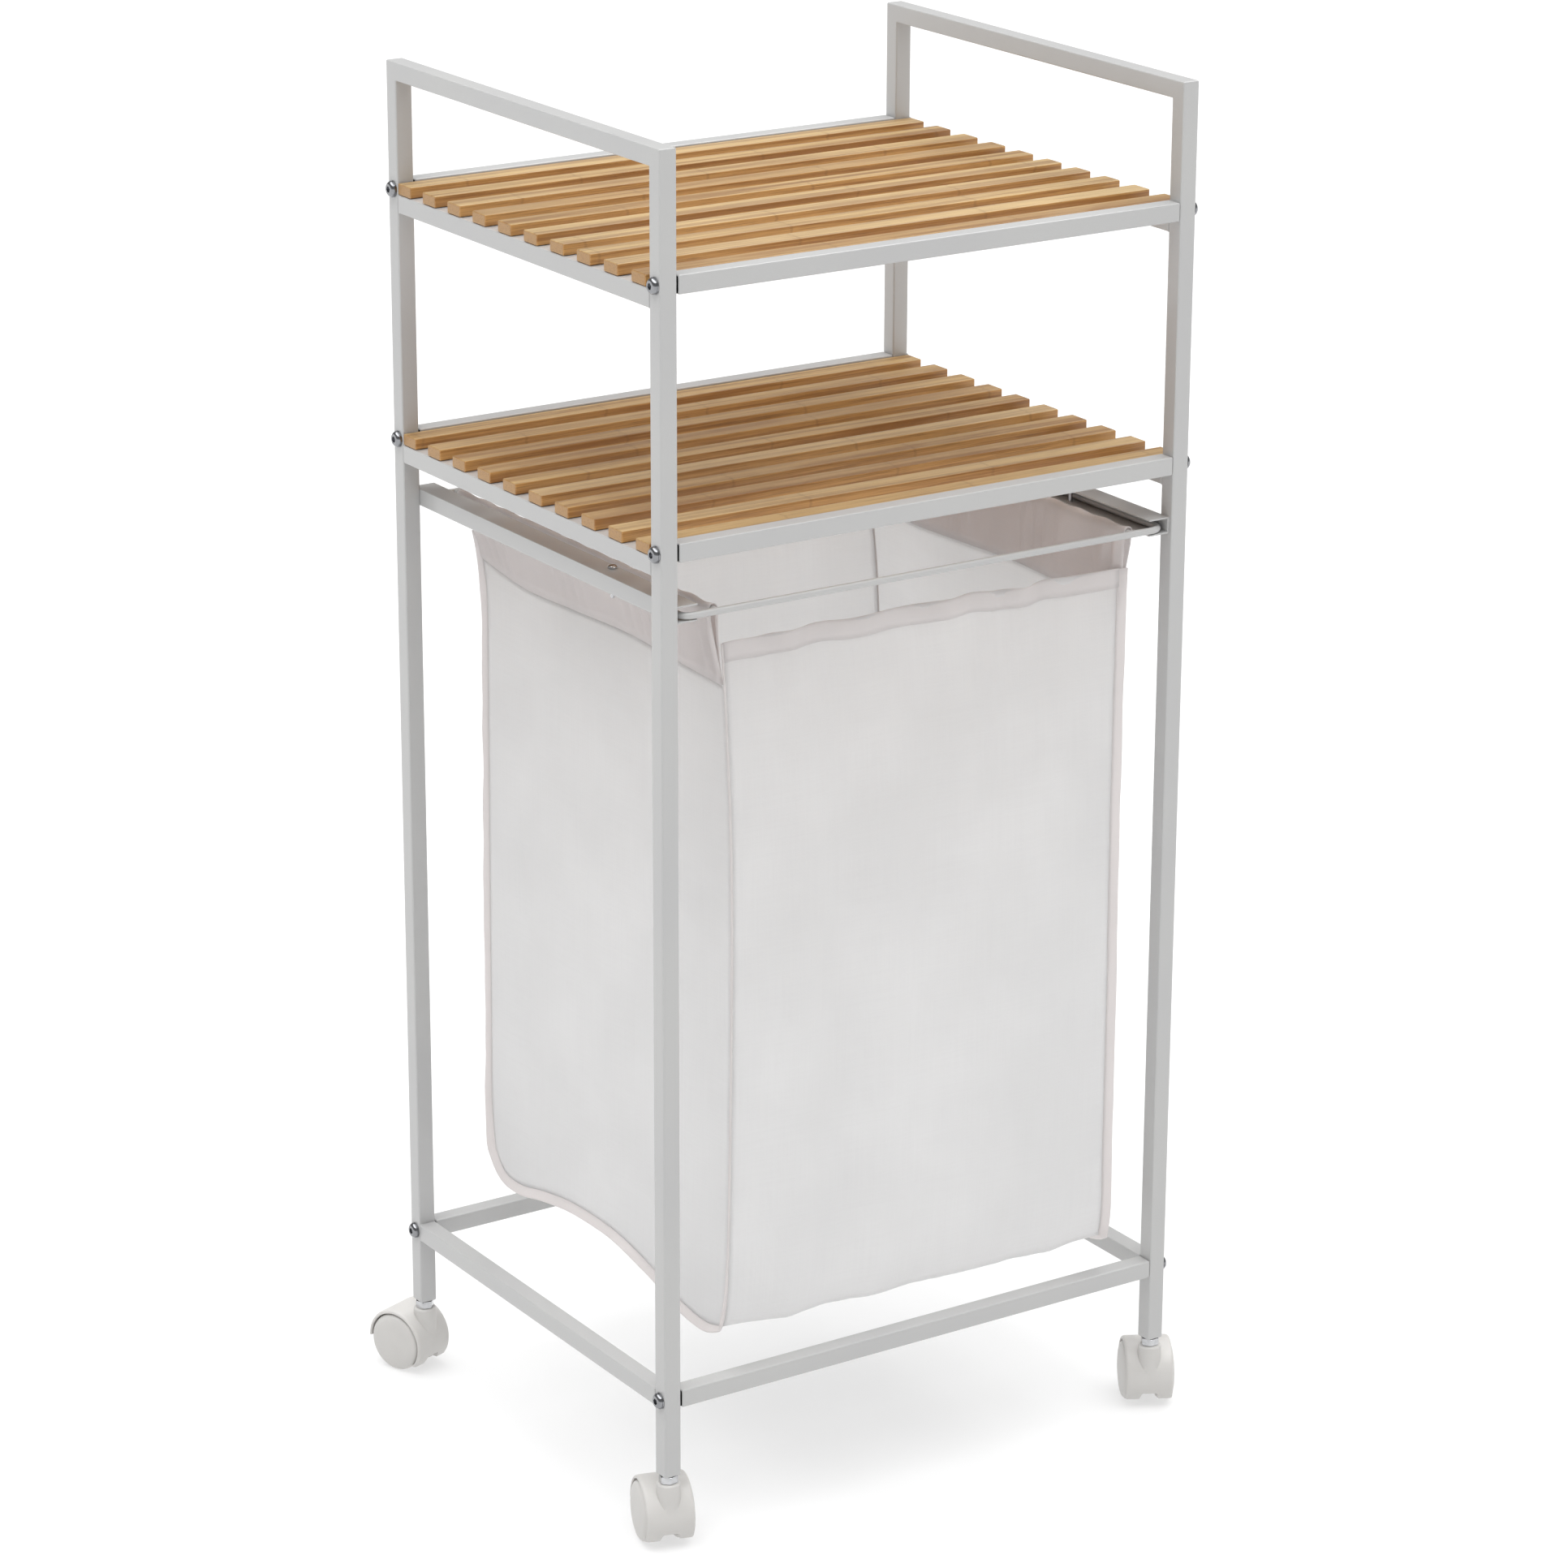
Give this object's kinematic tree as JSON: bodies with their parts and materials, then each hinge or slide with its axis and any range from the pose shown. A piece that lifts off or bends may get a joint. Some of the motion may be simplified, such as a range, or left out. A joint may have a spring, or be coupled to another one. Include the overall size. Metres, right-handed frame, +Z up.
{
  "type": "laundry sorter on wheels",
  "caption": "Rolling laundry trolley: white square-tube frame with handles, slatted bamboo shelves and a cloth bag on a pull-out wire carriage, on twin-wheel casters.",
  "frame": {"origin": "on the floor, at the middle of the bounding box with the casters as they stand at rest", "axes": "+X to the right, +Y to the back, +Z up; the bag pulls out towards -Y"},
  "size_m": [0.4814, 0.405, 0.989],
  "materials": {
    "powder_coat": "gloss white powder coat",
    "bamboo": "clear satin lacquer over bamboo",
    "bright_steel": "bright plated steel",
    "bag_cloth": "thin plain-weave polyester, lets light through",
    "caster_plastic": "matte white nylon"
  },
  "bodies": {
    "frame": {"side_frame_left": "powder_coat", "side_frame_right": "powder_coat", "rail_front_upper": "powder_coat", "rail_front_lower": "powder_coat", "rail_front_base": "powder_coat", "rail_back_upper": "powder_coat", "rail_back_lower": "powder_coat", "rail_back_base": "powder_coat", "slat_lower_01": "bamboo", "slat_lower_02": "bamboo", "slat_lower_03": "bamboo", "slat_lower_04": "bamboo", "slat_lower_05": "bamboo", "slat_lower_06": "bamboo", "slat_lower_07": "bamboo", "slat_lower_08": "bamboo", "slat_lower_09": "bamboo", "slat_lower_10": "bamboo", "slat_upper_01": "bamboo", "slat_upper_02": "bamboo", "slat_upper_03": "bamboo", "slat_upper_04": "bamboo", "slat_upper_05": "bamboo", "slat_upper_06": "bamboo", "slat_upper_07": "bamboo", "slat_upper_08": "bamboo", "slat_upper_09": "bamboo", "slat_upper_10": "bamboo", "bolt_left_front_upper": "bright_steel", "bolt_left_front_lower": "bright_steel", "bolt_left_front_base": "bright_steel", "bolt_left_back_upper": "bright_steel", "bolt_left_back_lower": "bright_steel", "bolt_left_back_base": "bright_steel", "bolt_right_front_upper": "bright_steel", "bolt_right_front_lower": "bright_steel", "bolt_right_front_base": "bright_steel", "bolt_right_back_upper": "bright_steel", "bolt_right_back_lower": "bright_steel", "bolt_right_back_base": "bright_steel", "stop_screw_left": "bright_steel", "stop_screw_right": "bright_steel", "caster_front_left_stem": "bright_steel", "caster_front_right_stem": "bright_steel", "caster_back_left_stem": "bright_steel", "caster_back_right_stem": "bright_steel"},
    "bag_carriage": {"wire_carriage": "powder_coat", "bag": "bag_cloth"},
    "front_left_hood": {"caster_front_left_hood": "caster_plastic"},
    "front_left_wheel_a": {"caster_front_left_wheel_a": "caster_plastic"},
    "front_left_wheel_b": {"caster_front_left_wheel_b": "caster_plastic"},
    "front_right_hood": {"caster_front_right_hood": "caster_plastic"},
    "front_right_wheel_a": {"caster_front_right_wheel_a": "caster_plastic"},
    "front_right_wheel_b": {"caster_front_right_wheel_b": "caster_plastic"},
    "back_left_hood": {"caster_back_left_hood": "caster_plastic"},
    "back_left_wheel_a": {"caster_back_left_wheel_a": "caster_plastic"},
    "back_left_wheel_b": {"caster_back_left_wheel_b": "caster_plastic"},
    "back_right_hood": {"caster_back_right_hood": "caster_plastic"},
    "back_right_wheel_a": {"caster_back_right_wheel_a": "caster_plastic"},
    "back_right_wheel_b": {"caster_back_right_wheel_b": "caster_plastic"}
  },
  "joints": [
    {"name": "bag_pull", "type": "slide", "parent": "frame", "child": "bag_carriage", "axis": [0, -1, 0], "range_m": [0, 0.2435]},
    {"name": "front_left_swivel", "type": "hinge", "parent": "frame", "child": "front_left_hood", "pos_m": [-0.2107, -0.18669, 0.04], "axis": [0, 0, 1], "continuous": true},
    {"name": "front_left_roll_a", "type": "hinge", "parent": "front_left_hood", "child": "front_left_wheel_a", "pos_m": [-0.2175, -0.16788, 0.022], "axis": [0.9563, -0.2924, 0], "continuous": true},
    {"name": "front_left_roll_b", "type": "hinge", "parent": "front_left_hood", "child": "front_left_wheel_b", "pos_m": [-0.19455, -0.1749, 0.022], "axis": [0.9563, -0.2924, 0], "continuous": true},
    {"name": "front_right_swivel", "type": "hinge", "parent": "frame", "child": "front_right_hood", "pos_m": [0.2063, -0.18669, 0.04], "axis": [0, 0, 1], "continuous": true},
    {"name": "front_right_roll_a", "type": "hinge", "parent": "front_right_hood", "child": "front_right_wheel_a", "pos_m": [0.20356, -0.16688, 0.022], "axis": [0.8746, -0.4848, 0], "continuous": true},
    {"name": "front_right_roll_b", "type": "hinge", "parent": "front_right_hood", "child": "front_right_wheel_b", "pos_m": [0.22455, -0.17852, 0.022], "axis": [0.8746, -0.4848, 0], "continuous": true},
    {"name": "back_left_swivel", "type": "hinge", "parent": "frame", "child": "back_left_hood", "pos_m": [-0.2107, 0.15831, 0.04], "axis": [0, 0, 1], "continuous": true},
    {"name": "back_left_roll_a", "type": "hinge", "parent": "back_left_hood", "child": "back_left_wheel_a", "pos_m": [-0.22745, 0.16924, 0.022], "axis": [0.9397, 0.342, 0], "continuous": true},
    {"name": "back_left_roll_b", "type": "hinge", "parent": "back_left_hood", "child": "back_left_wheel_b", "pos_m": [-0.2049, 0.17745, 0.022], "axis": [0.9397, 0.342, 0], "continuous": true},
    {"name": "back_right_swivel", "type": "hinge", "parent": "frame", "child": "back_right_hood", "pos_m": [0.2063, 0.15831, 0.04], "axis": [0, 0, 1], "continuous": true},
    {"name": "back_right_roll_a", "type": "hinge", "parent": "back_right_hood", "child": "back_right_wheel_a", "pos_m": [0.19789, 0.17645, 0.022], "axis": [0.9781, -0.2079, 0], "continuous": true},
    {"name": "back_right_roll_b", "type": "hinge", "parent": "back_right_hood", "child": "back_right_wheel_b", "pos_m": [0.22136, 0.17146, 0.022], "axis": [0.9781, -0.2079, 0], "continuous": true}
  ]
}
